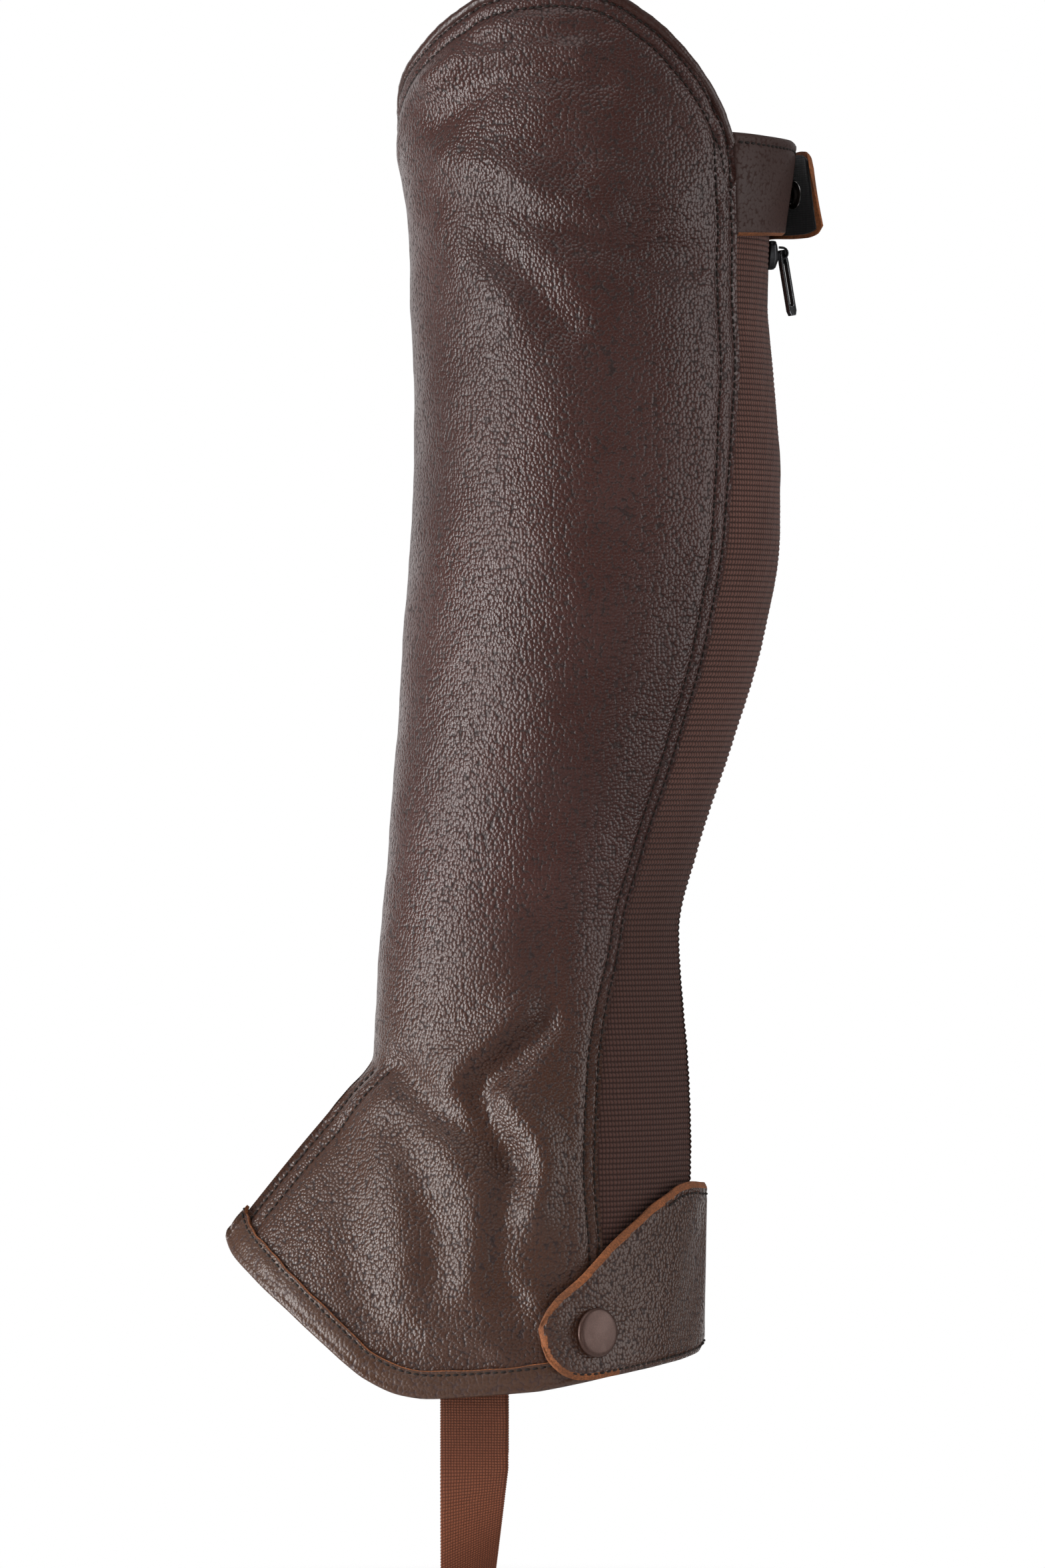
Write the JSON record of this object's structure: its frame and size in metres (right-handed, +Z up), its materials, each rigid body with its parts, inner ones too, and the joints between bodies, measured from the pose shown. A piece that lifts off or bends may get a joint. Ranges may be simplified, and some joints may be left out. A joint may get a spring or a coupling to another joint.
{
  "type": "half chap",
  "caption": "Dark brown leather half chap for the left leg with a curved top, ribbed elastic back panel, back zip, snapped ankle tab and elastic foot strap, hollow in its worn shape.",
  "frame": {"origin": "on the leg's axis at the widest part of the calf", "axes": "+Z up along the leg, -X to the toe, +X to the back zip, -Y to the outer side of the leg"},
  "size_m": [0.1889, 0.1075, 0.5168],
  "materials": {
    "leather_panel": "pebbled full-grain leather, dark brown, satin",
    "elastic_panel": "ribbed woven elastic, dark brown, matt",
    "hem_binding": "dark brown leather, raw tan upper edge",
    "top_piping": "smooth rolled dark brown leather, slight shine",
    "zip_tape_outer": "woven zip tape, dark brown",
    "zip_tape_inner": "woven zip tape, dark brown",
    "zip_slider": "gunmetal lacquer",
    "zip_bridge": "gunmetal lacquer",
    "zip_pull": "gunmetal lacquer",
    "top_patch": "dark brown leather, raw tan foot edge",
    "top_tab": "dark brown leather, raw tan cut edge",
    "top_tab_lining": "black woven lining",
    "ankle_tab": "dark brown leather, raw tan cut edge",
    "ankle_snap_cap": "brown lacquer, slight shine",
    "stirrup_strap": "fine ribbed elastic, reddish brown"
  },
  "bodies": {
    "chap": {"leather_panel": "leather_panel", "elastic_panel": "elastic_panel", "hem_binding": "hem_binding", "top_piping": "top_piping", "zip_tape_outer": "zip_tape_outer", "zip_tape_inner": "zip_tape_inner", "zip_slider": "zip_slider", "zip_bridge": "zip_bridge", "top_patch": "top_patch", "top_tab": "top_tab", "top_tab_lining": "top_tab_lining", "ankle_tab": "ankle_tab", "ankle_snap_cap": "ankle_snap_cap", "stirrup_strap": "stirrup_strap"},
    "pull": {"zip_pull": "zip_pull"}
  },
  "joints": [
    {"name": "pull_hinge", "type": "hinge", "parent": "chap", "child": "pull", "pos_m": [0.05868, 0.00815, 0.08446], "axis": [0.1762, -0.9844, 0], "range_deg": [0, 75]}
  ]
}
